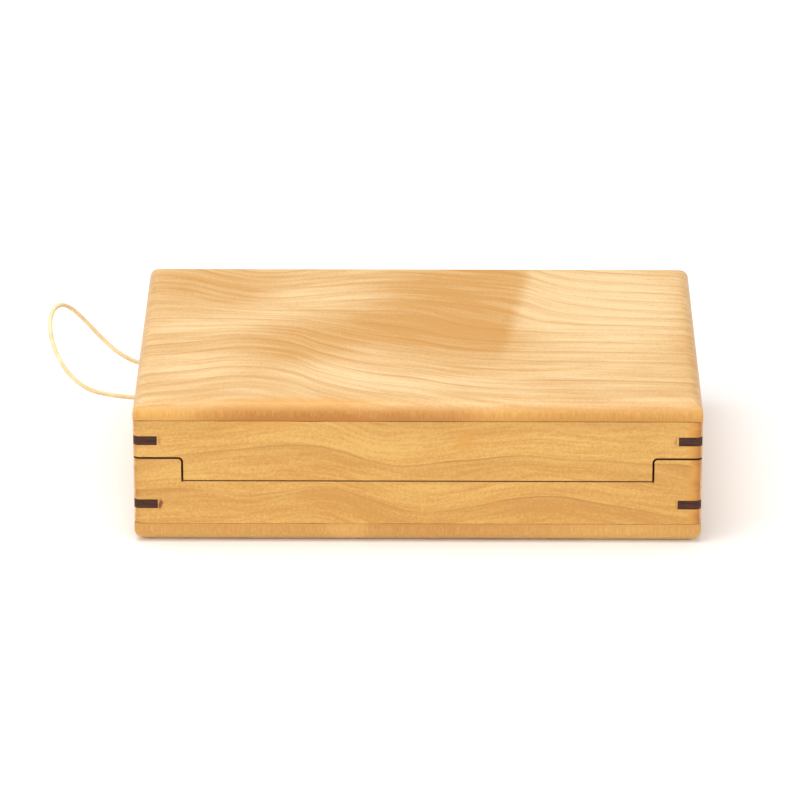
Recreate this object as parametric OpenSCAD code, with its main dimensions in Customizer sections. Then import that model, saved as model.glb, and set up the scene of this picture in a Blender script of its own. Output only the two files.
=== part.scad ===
// Wooden puzzle box: a mitred maple case with dark corner keys, sawn into a base and a
// lift-off lid along a stepped seam. Four loose steel pins lie in blind bores across the
// steps: they lock the lid when they straddle the seam and free it when they lie outward.
// A springy cord loop, knotted inside the left wall, is the pull that lifts the lid.
//
// Frame: millimetres, +X to the right, +Y to the back, +Z up.
// The origin is the centre of the underside.

/* [Box] */
// Width of the box, left to right
box_w = 190; // [150:1:240]
// Depth of the box, front to back
box_d = 127; // [100:1:170]
// Height of the closed box
box_h = 51; // [42:0.5:64]
// Radius of the rounded rims of the top and bottom panels
edge_r = 4.8; // [2.4:0.1:5.8]
// Radius of the four upright edges
corner_r = 2; // [1:0.1:2.4]

/* [Panels and walls] */
// Thickness of the top and bottom panels
panel_t = 7; // [5.9:0.1:9]
// Thickness of the mitred walls
wall_t = 9.5; // [7.9:0.1:11.4]

/* [Stepped seam] */
// Height of the lid at its corners and sides
lid_h = 20.4; // [17:0.1:24.5]
// Drop of the seam between the two steps
step_drop = 8.2; // [6.8:0.1:9.8]
// Distance from the side of the box to a step
step_inset = 16.3; // [13.6:0.1:20]
// Width of the gap between lid and base along the sides and over the corners
side_gap = 0.5; // [0.3:0.05:0.8]
// Width of the gap between lid and base at each step
step_gap = 0.5; // [0.3:0.05:0.8]
// Radius of the base's raised corners at the step
step_r = 1.1; // [0.5:0.1:2]
// Radius of the lid apron's lower corners
apron_r = 0.6; // [0.3:0.1:1]

/* [Corner keys] */
// Thickness of a key, the width of the saw kerf that it fills
key_t = 3.2; // [2:0.1:4]
// Length of a key along each face, from the corner
key_len = 8; // [5:0.1:10]
// Distance from the top or the underside of the box to the middle of a key
key_offset = 14.05; // [11.7:0.05:16.9]

/* [Lock pins] */
// Diameter of a lock pin
pin_d = 4; // [3:0.1:4.8]
// Length of a lock pin
pin_len = 8; // [6.6:0.1:9.6]
// Travel of a lock pin from unlocked to locked
pin_travel = 4.5; // [3.7:0.1:5.4]
// Depth of a pin's tip below the step when the lid is free
pin_recess = 0.3; // [0.1:0.1:0.6]
// Radial clearance of a pin in its bore
pin_fit = 0.06; // [0.02:0.01:0.1]
// Room beyond each end of a pin's travel
pin_end_gap = 0.4; // [0.2:0.1:1]

/* [Liners] */
// Thickness of a liner board
liner_t = 3; // [2.5:0.1:4]
// Height of a liner above the low stretch of the seam
liner_rise = 5; // [4:0.1:6]
// Clearance between a liner and the lid's wall
liner_fit = 0.25; // [0.15:0.05:0.5]
// Distance from each end of a liner to the side wall
liner_end_gap = 1; // [0.5:0.1:3]

/* [Pull cord] */
// Diameter of the cord
cord_d = 1.5; // [1.25:0.05:1.75]
// Diameter of the holes that the cord passes through
cord_hole_d = 2; // [1.85:0.05:2.4]
// Height of the cord holes above the side seam
cord_rise = 2.2; // [1.9:0.1:2.6]
// Diameter of the knots inside the wall
knot_d = 3.8; // [3.2:0.1:4.6]
// Length of a knot along the cord
knot_len = 3.4; // [2.8:0.1:4]

/* [Hidden] */
// Segments of round shapes
$fn = 64;
// Length by which a cutting shape runs past the wood that it cuts
past = 1;
// Height of the seam's middle line along the sides and over the corners
side_seam_z = box_h - lid_h;
// Height of the low stretch of the seam, where the lid rests on the base
low_seam_z = side_seam_z - step_drop;
// Top of the base's walls, and underside of the lid's walls, at the sides
base_side_top = side_seam_z - side_gap / 2;
lid_side_bottom = side_seam_z + side_gap / 2;
// Underside of the top panel
lid_wall_top = box_h - panel_t;
// Middle of a step, measured from the middle of the box
step_x = box_w / 2 - step_inset;
// Step faces of the base's raised corners and of the lid's apron
base_step_x = step_x + step_gap / 2;
apron_x = step_x - step_gap / 2;
// Height and distance from the middle of the pins' bores
pin_z = side_seam_z - step_drop / 2;
pin_y = box_d / 2 - wall_t / 2;
// Bevel on a pin's ends
pin_bevel = 0.4;
// Inner faces of the walls
inner_x = box_w / 2 - wall_t;
inner_y = box_d / 2 - wall_t;
// Depth of a liner's relief below the seam, and its lead-in bevel
relief_depth = 0.5;
liner_lead = 0.8;
// Height of the cord holes
cord_z = side_seam_z + cord_rise;

// Route of the cord from one hole to the other, outside the left wall. Each point is
// measured from the point of the wall's outer face that is midway between the holes.
cord_route = [
    [-0.5, -15.5, 0], [-9, -16, 1], [-17, -17, 3.5], [-23.5, -16.5, 8.5], [-28, -14, 15],
    [-30.5, -8.5, 21], [-30.5, -1, 25], [-28, 7, 25], [-24.5, 13.5, 21], [-20, 17, 15],
    [-14.5, 17.5, 8.5], [-8, 16.5, 3], [-0.5, 15.5, 0]
];
// Distances of the two cord holes from the middle of the wall
cord_hole_ys = [cord_route[0].y, cord_route[len(cord_route) - 1].y];
// Rings of the cord's tube between two points of the route, and sides of a ring
rings_per_point = 3;
cord_sides = 8;

// ---- Plan shapes ------------------------------------------------------------------

// Plan of the box without the rounded parts of its four corners
module outline_cross() {
    square([box_w - 2 * corner_r, box_d], center = true);
    square([box_w, box_d - 2 * corner_r], center = true);
}

// Plan of the box, with its rounded upright edges
module outline() {
    outline_cross();
    for (sx = [-1, 1], sy = [-1, 1])
        translate([sx * (box_w / 2 - corner_r), sy * (box_d / 2 - corner_r)])
            circle(r = corner_r);
}

// Plan of the front wall (sy = -1) or the back wall (sy = 1), mitred at both ends
module long_wall_plan(sy) {
    intersection() {
        outline();
        polygon([
            [-box_w / 2, sy * box_d / 2], [box_w / 2, sy * box_d / 2],
            [inner_x, sy * inner_y], [-inner_x, sy * inner_y]
        ]);
    }
}

// Plan of the left wall (sx = -1) or the right wall (sx = 1), mitred at both ends
module short_wall_plan(sx) {
    intersection() {
        outline();
        polygon([
            [sx * box_w / 2, -box_d / 2], [sx * box_w / 2, box_d / 2],
            [sx * inner_x, inner_y], [sx * inner_x, -inner_y]
        ]);
    }
}

// ---- Front views of the stepped walls, drawn in X and Z -----------------------------

// Base wall: a low middle between two raised corners
module base_profile() {
    translate([-box_w / 2, panel_t])
        square([box_w, low_seam_z - panel_t]);
    for (sx = [-1, 1])
        mirror([sx < 0 ? 1 : 0, 0])
            difference() {
                translate([base_step_x, low_seam_z - past])
                    square([box_w / 2 - base_step_x, base_side_top - low_seam_z + past]);
                difference() {
                    translate([base_step_x - past, base_side_top - step_r])
                        square([step_r + past, step_r + past]);
                    translate([base_step_x + step_r, base_side_top - step_r])
                        circle(r = step_r);
                    translate([base_step_x + step_r, base_side_top - step_r])
                        square([past, step_r + past]);
                }
            }
}

// Lid wall: a full-width band with an apron that drops between the base's raised corners
module lid_profile() {
    // The gap's two rounded sides share one centre, so the gap keeps its width
    fillet_r = step_r + (side_gap + step_gap) / 2;
    translate([-box_w / 2, lid_side_bottom])
        square([box_w, lid_wall_top - lid_side_bottom]);
    translate([-apron_x, low_seam_z + apron_r])
        square([2 * apron_x, lid_side_bottom - low_seam_z - apron_r + past]);
    translate([-apron_x + apron_r, low_seam_z])
        square([2 * (apron_x - apron_r), apron_r + past]);
    for (sx = [-1, 1])
        mirror([sx < 0 ? 1 : 0, 0]) {
            translate([apron_x - apron_r, low_seam_z + apron_r])
                circle(r = apron_r);
            difference() {
                translate([apron_x, lid_side_bottom - fillet_r])
                    square([fillet_r, fillet_r]);
                translate([apron_x + fillet_r, lid_side_bottom - fillet_r])
                    circle(r = fillet_r);
            }
        }
}

// ---- Cuts -------------------------------------------------------------------------

// Plan of the kerf across one corner, running past the outside of the box
module kerf_plan(sx, sy) {
    polygon([
        [sx * (box_w / 2 - key_len - past), sy * (box_d / 2 + past)],
        [sx * (box_w / 2 + past), sy * (box_d / 2 - key_len - past)],
        [sx * (box_w / 2 + past), sy * (box_d / 2 + past)]
    ]);
}

// The four kerfs that the keys at height z fill
module kerfs(z) {
    for (sx = [-1, 1], sy = [-1, 1])
        translate([0, 0, z - key_t / 2])
            linear_extrude(key_t)
                kerf_plan(sx, sy);
}

// Horizontal bore from x = from to x = to, at a pin's height
module pin_bore(sx, sy, from, to) {
    translate([sx * from, sy * pin_y, pin_z])
        rotate([0, sx * 90, 0])
            cylinder(h = to - from, d = pin_d + 2 * pin_fit);
}

// Blind bores in the base's raised corners, which hold the pins when the lid is free
module base_bores() {
    depth = pin_recess + pin_len + pin_end_gap;
    for (sx = [-1, 1], sy = [-1, 1])
        pin_bore(sx, sy, base_step_x - past, base_step_x + depth);
}

// Blind bores in the lid's apron, which the pins' tips enter to lock the lid
module lid_bores() {
    depth = pin_travel - pin_recess - step_gap + pin_end_gap;
    for (sx = [-1, 1], sy = [-1, 1])
        pin_bore(sx, sy, apron_x - depth, apron_x + past);
}

// ---- Wooden parts -----------------------------------------------------------------

// Section of a panel from its middle to its rim, which is at x = reach
module rim_section(reach) {
    flat = panel_t - edge_r;
    square([reach, flat]);
    intersection() {
        square([reach, panel_t]);
        translate([reach - edge_r, flat])
            circle(r = edge_r);
    }
    if (reach > edge_r)
        square([reach - edge_r, panel_t]);
}

// Whole section of a panel that is as wide as the given size
module panel_section(size) {
    rim_section(size / 2);
    mirror([1, 0])
        rim_section(size / 2);
}

// Panel with its outer rim rounded as a router does it: the round follows the outline.
// It is drawn with the flat glued face on z = 0.
module rounded_panel() {
    intersection() {
        union() {
            linear_extrude(panel_t)
                outline_cross();
            for (sx = [-1, 1], sy = [-1, 1])
                translate([sx * (box_w / 2 - corner_r), sy * (box_d / 2 - corner_r), 0])
                    rotate_extrude()
                        rim_section(corner_r);
        }
        rotate([90, 0, 0])
            linear_extrude(box_d + 2 * past, center = true)
                panel_section(box_w);
        rotate([90, 0, 90])
            linear_extrude(box_w + 2 * past, center = true)
                panel_section(box_d);
    }
}

module top_panel() {
    color("#EFC58B")
        translate([0, 0, lid_wall_top])
            rounded_panel();
}

module bottom_panel() {
    color("#DDA460")
        translate([0, 0, panel_t])
            mirror([0, 0, 1])
                rounded_panel();
}

// Front or back wall of the base
module base_long_wall(sy) {
    difference() {
        intersection() {
            translate([0, 0, panel_t])
                linear_extrude(box_h)
                    long_wall_plan(sy);
            rotate([90, 0, 0])
                linear_extrude(box_d + 2 * past, center = true)
                    base_profile();
        }
        kerfs(key_offset);
        base_bores();
    }
}

// Left or right wall of the base
module base_short_wall(sx) {
    difference() {
        translate([0, 0, panel_t])
            linear_extrude(base_side_top - panel_t)
                short_wall_plan(sx);
        kerfs(key_offset);
        base_bores();
    }
}

// Front or back wall of the lid
module lid_long_wall(sy) {
    difference() {
        intersection() {
            linear_extrude(box_h)
                long_wall_plan(sy);
            rotate([90, 0, 0])
                linear_extrude(box_d + 2 * past, center = true)
                    lid_profile();
        }
        kerfs(box_h - key_offset);
        lid_bores();
    }
}

// Left or right wall of the lid
module lid_short_wall(sx) {
    difference() {
        translate([0, 0, lid_side_bottom])
            linear_extrude(lid_wall_top - lid_side_bottom)
                short_wall_plan(sx);
        kerfs(box_h - key_offset);
    }
}

module base_front_wall() { color("#E5AC66") base_long_wall(-1); }
module base_back_wall() { color("#E5AC66") base_long_wall(1); }
module base_left_wall() { color("#DFA55F") base_short_wall(-1); }
module base_right_wall() { color("#DFA55F") base_short_wall(1); }

module lid_front_wall() { color("#EAB46C") lid_long_wall(-1); }
module lid_back_wall() { color("#EAB46C") lid_long_wall(1); }
module lid_right_wall() { color("#E4AD66") lid_short_wall(1); }
module lid_left_wall() {
    color("#E4AD66")
        difference() {
            lid_short_wall(-1);
            for (y = cord_hole_ys)
                translate([-inner_x - wall_t / 2, y, cord_z])
                    rotate([0, 90, 0])
                        cylinder(h = wall_t + 2 * past, d = cord_hole_d, center = true);
        }
}

// Dark wedge that fills one kerf, flush with the rounded corner
module corner_key(sx, sy, z) {
    color("#58372B")
        translate([0, 0, z - key_t / 2])
            linear_extrude(key_t)
                intersection() {
                    outline();
                    kerf_plan(sx, sy);
                }
}

// Board glued inside the base's front or back wall, standing on the bottom panel. It
// rises above the seam and lines the lid up. Its section is drawn with y inward from
// the wall and z up, then laid along the wall.
module liner(sy) {
    top = low_seam_z + liner_rise;
    relief_z = low_seam_z - relief_depth;
    liner_len = 2 * (inner_x - liner_end_gap);
    color("#D89C58")
        mirror([0, sy > 0 ? 1 : 0, 0])
            translate([-liner_len / 2, -inner_y, 0])
                rotate([90, 0, 90])
                    linear_extrude(liner_len)
                        polygon([
                            [0, panel_t], [liner_t, panel_t],
                            [liner_t, top], [liner_fit + liner_lead, top],
                            [liner_fit, top - liner_lead], [liner_fit, relief_z],
                            [0, relief_z]
                        ]);
}

// ---- Lock pins --------------------------------------------------------------------

// Steel pin with bevelled ends, lying outward in its bore so that the lid is free
module lock_pin(sx, sy) {
    color("#B9BCC0")
        translate([sx * (base_step_x + pin_recess), sy * pin_y, pin_z])
            rotate([0, sx * 90, 0]) {
                cylinder(h = pin_bevel, d1 = pin_d - 2 * pin_bevel, d2 = pin_d);
                translate([0, 0, pin_bevel])
                    cylinder(h = pin_len - 2 * pin_bevel, d = pin_d);
                translate([0, 0, pin_len - pin_bevel])
                    cylinder(h = pin_bevel, d1 = pin_d, d2 = pin_d - 2 * pin_bevel);
            }
}

// ---- Pull cord --------------------------------------------------------------------

// Point at t, from 0 to 1, on the smooth curve from p1 to p2
function curve_point(p0, p1, p2, p3, t) =
    0.5 * (2 * p1 + (p2 - p0) * t + (2 * p0 - 5 * p1 + 4 * p2 - p3) * t * t
        + (3 * p1 - p0 - 3 * p2 + p3) * t * t * t);

// Route point i, held at the two ends
function route_at(i) = cord_route[max(0, min(len(cord_route) - 1, i))];

// Middles of the tube's rings: straight through one hole, round the loop, back through
function ring_middles() =
    let (through = [wall_t, 0, 0])
    concat(
        [[0, route_at(0).y, 0] + through],
        [for (i = [0 : len(cord_route) - 2], k = [0 : rings_per_point - 1])
            curve_point(route_at(i - 1), route_at(i), route_at(i + 1), route_at(i + 2),
                k / rings_per_point)],
        [route_at(len(cord_route) - 1)],
        [[0, route_at(len(cord_route) - 1).y, 0] + through]
    );

function unit(v) = v / norm(v);

// Direction of the cord at ring i
function ring_direction(m, i) = unit(m[min(len(m) - 1, i + 1)] - m[max(0, i - 1)]);

// Vector across the cord at ring i, carried along from the ring before without twisting
function across(m, i, before) =
    let (d = ring_direction(m, i), a = before - (before * d) * d) unit(a);
function all_across(m, i = 0, before = [0, 0, 1], found = []) =
    i == len(m) ? found
    : let (a = across(m, i, before)) all_across(m, i + 1, a, concat(found, [a]));

module pull_cord() {
    middles = ring_middles();
    sides = all_across(middles);
    last = len(middles) - 1;
    points = [for (i = [0 : last], k = [0 : cord_sides - 1])
        let (a = sides[i], b = cross(ring_direction(middles, i), a), turn = 360 * k / cord_sides)
        middles[i] + cord_d / 2 * (a * cos(turn) + b * sin(turn))];
    walls = [for (i = [0 : last - 1], k = [0 : cord_sides - 1])
        let (n = (k + 1) % cord_sides, low = i * cord_sides, high = low + cord_sides)
        [low + k, high + k, high + n, low + n]];
    color("#EFE6C8")
        translate([-box_w / 2, 0, cord_z])
            polyhedron(points, concat(
                [[for (k = [0 : cord_sides - 1]) k]],
                walls,
                [[for (k = [cord_sides - 1 : -1 : 0]) last * cord_sides + k]]
            ));
}

// One solid for each knot, drawn up against the inside of the left wall
module cord_knots() {
    round_r = knot_len / 4;
    color("#E6DBBA")
        for (y = cord_hole_ys)
            translate([-inner_x, y, cord_z])
                rotate([0, 90, 0])
                    rotate_extrude() {
                        square([knot_d / 2 - round_r, knot_len]);
                        translate([knot_d / 2 - round_r, round_r])
                            square([round_r, knot_len - 2 * round_r]);
                        for (z = [round_r, knot_len - round_r])
                            translate([knot_d / 2 - round_r, z])
                                circle(r = round_r);
                    }
}

// ---- The box ----------------------------------------------------------------------

bottom_panel();
base_front_wall();
base_back_wall();
base_left_wall();
base_right_wall();
corner_key(-1, -1, key_offset);  // base_key_front_left
corner_key(1, -1, key_offset);  // base_key_front_right
corner_key(-1, 1, key_offset);  // base_key_back_left
corner_key(1, 1, key_offset);  // base_key_back_right
liner(-1);  // liner_front
liner(1);  // liner_back
top_panel();
lid_front_wall();
lid_back_wall();
lid_left_wall();
lid_right_wall();
corner_key(-1, -1, box_h - key_offset);  // lid_key_front_left
corner_key(1, -1, box_h - key_offset);  // lid_key_front_right
corner_key(-1, 1, box_h - key_offset);  // lid_key_back_left
corner_key(1, 1, box_h - key_offset);  // lid_key_back_right
lock_pin(-1, -1);  // lock_pin_front_left
lock_pin(1, -1);  // lock_pin_front_right
lock_pin(-1, 1);  // lock_pin_back_left
lock_pin(1, 1);  // lock_pin_back_right
pull_cord();
cord_knots();
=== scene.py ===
"""Looks of a maple puzzle box with dark corner keys, a stepped seam and a cord loop.

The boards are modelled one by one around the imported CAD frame, sawn from the glued-up block
as the maker does it. Each board is dressed in lacquered maple whose growth lines follow the
board's own cut. Everything is in metres, in the frame's own axes: +X to the right, -Y to the
front, +Z up.
"""

import logging
import math
from collections.abc import Callable, Iterable
from dataclasses import dataclass, field
from enum import Enum

import bmesh
import bpy
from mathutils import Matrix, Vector


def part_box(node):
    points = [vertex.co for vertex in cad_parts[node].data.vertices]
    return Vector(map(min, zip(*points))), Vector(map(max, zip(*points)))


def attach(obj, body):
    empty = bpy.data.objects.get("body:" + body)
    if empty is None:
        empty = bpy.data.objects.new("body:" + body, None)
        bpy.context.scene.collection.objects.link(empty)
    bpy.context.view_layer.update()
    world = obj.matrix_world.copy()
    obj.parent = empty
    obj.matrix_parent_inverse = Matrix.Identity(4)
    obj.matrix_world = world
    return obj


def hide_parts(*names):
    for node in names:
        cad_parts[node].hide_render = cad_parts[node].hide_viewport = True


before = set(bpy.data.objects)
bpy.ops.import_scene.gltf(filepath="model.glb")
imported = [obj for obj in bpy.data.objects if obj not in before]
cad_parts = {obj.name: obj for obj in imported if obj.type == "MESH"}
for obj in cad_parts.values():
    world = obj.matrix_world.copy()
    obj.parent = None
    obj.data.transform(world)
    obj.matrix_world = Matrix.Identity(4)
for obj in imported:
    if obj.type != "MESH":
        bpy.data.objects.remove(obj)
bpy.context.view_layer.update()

MM = 0.001
LOG = logging.getLogger("puzzle_box")

Point = tuple[float, float, float]
EdgeRule = Callable[[Vector, Vector], bool]


class Side(Enum):
    """A side of the box, as the sign of the axis that it faces."""

    FRONT = (0, -1)
    BACK = (0, 1)
    LEFT = (-1, 0)
    RIGHT = (1, 0)


class Half(Enum):
    """The half of the box that a board belongs to, named as its CAD body."""

    BASE = "base"
    LID = "lid"


# ---- Small helpers ------------------------------------------------------------------


def linear(hex_colour: str) -> tuple[float, float, float, float]:
    """Turns an sRGB hex colour into the linear colour that shaders expect.

    Args:
        hex_colour: Six hex digits after a hash, such as "#E5AC66".

    Returns:
        Linear red, green, blue and an alpha of 1.
    """
    channels = [int(hex_colour[i : i + 2], 16) / 255 for i in (1, 3, 5)]
    bent = [c / 12.92 if c <= 0.04045 else ((c + 0.055) / 1.055) ** 2.4 for c in channels]
    return (bent[0], bent[1], bent[2], 1.0)


def deselect() -> None:
    """Leaves nothing selected and the session in object mode."""
    if bpy.context.mode != "OBJECT":
        bpy.ops.object.mode_set(mode="OBJECT")
    bpy.ops.object.select_all(action="DESELECT")


def make_active(piece: bpy.types.Object) -> None:
    """Selects one piece alone and makes it the active one."""
    deselect()
    piece.select_set(True)
    bpy.context.view_layer.objects.active = piece


# ---- Sizes --------------------------------------------------------------------------


@dataclass(frozen=True)
class Proportions:
    """Sizes of the box, worked out from the CAD nodes, in metres."""

    width: float
    depth: float
    height: float
    wall: float
    base_floor: float
    lid_ceiling: float
    base_side_top: float
    lid_side_bottom: float
    low_seam: float
    key_length: float
    edge_radius: float = 4.8 * MM
    corner_radius: float = 2.0 * MM
    step_inset: float = 16.3 * MM
    step_gap: float = 0.5 * MM
    step_radius: float = 1.1 * MM
    apron_radius: float = 0.6 * MM

    @classmethod
    def from_frame(cls) -> "Proportions":
        """Reads the sizes from the CAD nodes' boxes."""
        low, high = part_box("bottom_panel")
        wall_low, wall_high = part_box("base_front_wall")
        lid_low, lid_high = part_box("lid_front_wall")
        side_low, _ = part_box("lid_left_wall")
        key_low, key_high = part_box("lid_key_front_right")
        return cls(
            width=high.x - low.x,
            depth=high.y - low.y,
            height=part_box("top_panel")[1].z,
            wall=wall_high.y - wall_low.y,
            base_floor=wall_low.z,
            lid_ceiling=lid_high.z,
            base_side_top=wall_high.z,
            lid_side_bottom=side_low.z,
            low_seam=lid_low.z,
            key_length=key_high.x - key_low.x,
        )

    @property
    def step_x(self) -> float:
        """Distance of a step's middle line from the middle of the box."""
        return self.width / 2 - self.step_inset

    @property
    def base_step_x(self) -> float:
        """Distance of the base's step faces from the middle of the box."""
        return self.step_x + self.step_gap / 2

    @property
    def apron_x(self) -> float:
        """Distance of the lid apron's ends from the middle of the box."""
        return self.step_x - self.step_gap / 2


# ---- Camera, floor and light ---------------------------------------------------------


@dataclass(frozen=True)
class Studio:
    """A plain pale floor under soft light, seen through a long lens from the front."""

    sky_strength: float = 0.62
    lens_mm: float = 255.06
    distance: float = 1.952
    elevation: float = math.radians(22.34)
    azimuth: float = math.radians(0.372)
    target: Point = (-0.00633, 0.0, 0.02573)
    floor_size: float = 9.0

    def set_camera(self) -> None:
        """Places the camera that looks at the box from the front and above."""
        back = Vector((
            math.sin(self.azimuth) * math.cos(self.elevation),
            -math.cos(self.azimuth) * math.cos(self.elevation),
            math.sin(self.elevation),
        ))
        data = bpy.data.cameras.new("studio_camera")
        data.lens = self.lens_mm
        data.sensor_width = 36.0
        data.clip_start, data.clip_end = 0.05, 50.0
        camera = bpy.data.objects.new("studio_camera", data)
        camera.location = Vector(self.target) + back * self.distance
        camera.rotation_mode = "QUATERNION"
        camera.rotation_quaternion = (-back).to_track_quat("-Z", "Y")
        bpy.context.scene.collection.objects.link(camera)
        bpy.context.scene.camera = camera

    def lay_floor(self) -> None:
        """Lays the pale matt floor that the box stands on."""
        deselect()
        bpy.ops.mesh.primitive_plane_add(size=self.floor_size, location=(0, 0, 0))
        floor = bpy.context.active_object
        floor.name = "studio_floor"
        material = bpy.data.materials.new("pale_paper_sweep")
        material.use_nodes = True
        shader = material.node_tree.nodes["Principled BSDF"]
        shader.inputs["Base Color"].default_value = linear("#F4F2F0")
        shader.inputs["Roughness"].default_value = 0.9
        floor.data.materials.append(material)

    def add_light(
        self, name: str, place: Point, aim: Point, size: float, watts: float, colour: str
    ) -> None:
        """Adds one square soft light.

        Args:
            name: The light's name.
            place: Where it hangs.
            aim: The point that it faces.
            size: Its width and height.
            watts: Its power.
            colour: Its sRGB hex colour.
        """
        data = bpy.data.lights.new(name, "AREA")
        data.shape = "SQUARE"
        data.size = size
        data.energy = watts
        data.color = linear(colour)[:3]
        light = bpy.data.objects.new(name, data)
        light.location = place
        light.rotation_mode = "QUATERNION"
        light.rotation_quaternion = (Vector(aim) - Vector(place)).to_track_quat("-Z", "Y")
        bpy.context.scene.collection.objects.link(light)

    def light(self) -> None:
        """Surrounds the box with a bright sky and four soft lights."""
        world = bpy.data.worlds.new("studio_sky")
        world.use_nodes = True
        background = world.node_tree.nodes["Background"]
        background.inputs["Color"].default_value = linear("#FFFFFF")
        background.inputs["Strength"].default_value = self.sky_strength
        bpy.context.scene.world = world
        bpy.context.scene.view_settings.view_transform = "Standard"
        middle = (0.0, 0.0, 0.03)
        self.add_light("softbox_top", (-0.25, -0.1, 1.5), middle, 1.3, 17.0, "#FFFDFA")
        self.add_light("softbox_left", (-1.4, -0.9, 0.9), middle, 0.9, 6.5, "#FFFDFA")
        self.add_light("softbox_right", (1.5, -0.8, 1.0), middle, 1.1, 3.5, "#FFFDFA")
        self.add_light("softbox_front", (0.4, -2.2, 0.9), middle, 1.4, 12.0, "#FFFFFF")


# ---- Finishes --------------------------------------------------------------------------

# Middle lines of the seam's high and low stretches and of its steps, and the radius of
# the steps' rounded shoulders, in millimetres
SEAM_HIGH = 30.6
SEAM_LOW = 22.4
STEP_X = 78.7
STEP_ROUND = 1.35

# How far out the box's outer surfaces begin, inside their rounded rims, in millimetres
INNER_X = 93.0
INNER_Y = 61.5

# How far out the burn marks and the painted corner shade begin, so that they stay on the face of a wall, in
# millimetres
BURN_AND_SHADE_Y = 60.0


Input = bpy.types.NodeSocket | float | tuple[float, ...] | None


class Recipe:
    """A material under construction: a row of shader nodes, each fed by the ones before."""

    # The setting that a kind's main option is written to
    OPTION = {"Math": "operation", "VectorMath": "operation", "Mix": "data_type",
              "MapRange": "interpolation_type"}

    def __init__(self, name: str) -> None:
        """Starts a material that has only its surface shader."""
        self.material = bpy.data.materials.new(name)
        self.material.use_nodes = True
        self.surface = self.material.node_tree.nodes["Principled BSDF"]

    def add(
        self, kind: str, inputs: Iterable[Input] | dict[str | int, Input],
        out: str | int = 0, **settings: object,
    ) -> bpy.types.NodeSocket:
        """Adds a shader node with its settings, input values and links.

        Args:
            kind: The node's type without its "ShaderNode" prefix, and after a dot its main
                option, such as "Math.MULTIPLY".
            inputs: Plain values or sockets, in the node's order or by name. None skips one.
            out: The output to return, by name or number.
            settings: Properties of the node by name.

        Returns:
            The chosen output of the new node.
        """
        kind, _, option = kind.partition(".")
        node = self.material.node_tree.nodes.new(f"ShaderNode{kind}")
        if option:
            settings[self.OPTION[kind]] = option
        for name, value in settings.items():
            setattr(node, name, value)
        pairs = inputs.items() if isinstance(inputs, dict) else enumerate(inputs)
        for key, value in pairs:
            if isinstance(value, bpy.types.NodeSocket):
                self.material.node_tree.links.new(value, node.inputs[key])
            elif value is not None:
                node.inputs[key].default_value = value
        return node.outputs[out]

    def finish(self, inputs: dict[str, Input]) -> bpy.types.Material:
        """Feeds the surface shader and returns the finished material."""
        for key, value in inputs.items():
            if isinstance(value, bpy.types.NodeSocket):
                self.material.node_tree.links.new(value, self.surface.inputs[key])
            else:
                self.surface.inputs[key].default_value = value
        return self.material


@dataclass(frozen=True)
class Patch:
    """A soft oval on a board's show face, in millimetres along and across the grain."""

    along: float
    across: float
    length: float
    breadth: float
    lift: float
    turn: float = 0.0
    cut: float = 2.0


@dataclass(frozen=True)
class Cut:
    """How a board was sawn from the log: the axes of its grain and its growth lines' course.

    The two courses say how high a growth line runs at points along the board, in
    millimetres. The lines follow near at the low side of the board and far at the high side.
    """

    along: str
    across: str
    through: str
    near: tuple[tuple[float, float], ...]
    far: tuple[tuple[float, float], ...]
    blend: tuple[float, float]
    spacing: float
    half_length: float = 95.0
    depth: float = 63.5
    tilt: float = 0.6
    offset: float = 0.0


class Tone(Enum):
    """Colours of lacquered maple, and of the shade painted on it, as sRGB hex."""

    CREAM = "#F6E9C0"
    TAN = "#BC9058"
    LINE = "#9A6C3A"
    FLECK = "#8F5A2C"
    AMBER = "#AC6A14"
    # Warm orange: the rim's warm band and small warm spots, and painted shade on the rounded front corners
    GLOW = "#CC9038"
    # Burn marks at the keys' ends, and painted shade on the rounded front corners
    BURN = "#823E14"
    # Painted shade in the seam between lid and base
    SEAM_SHADE = "#4A2408"
    GLUE = "#6B431F"


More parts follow.
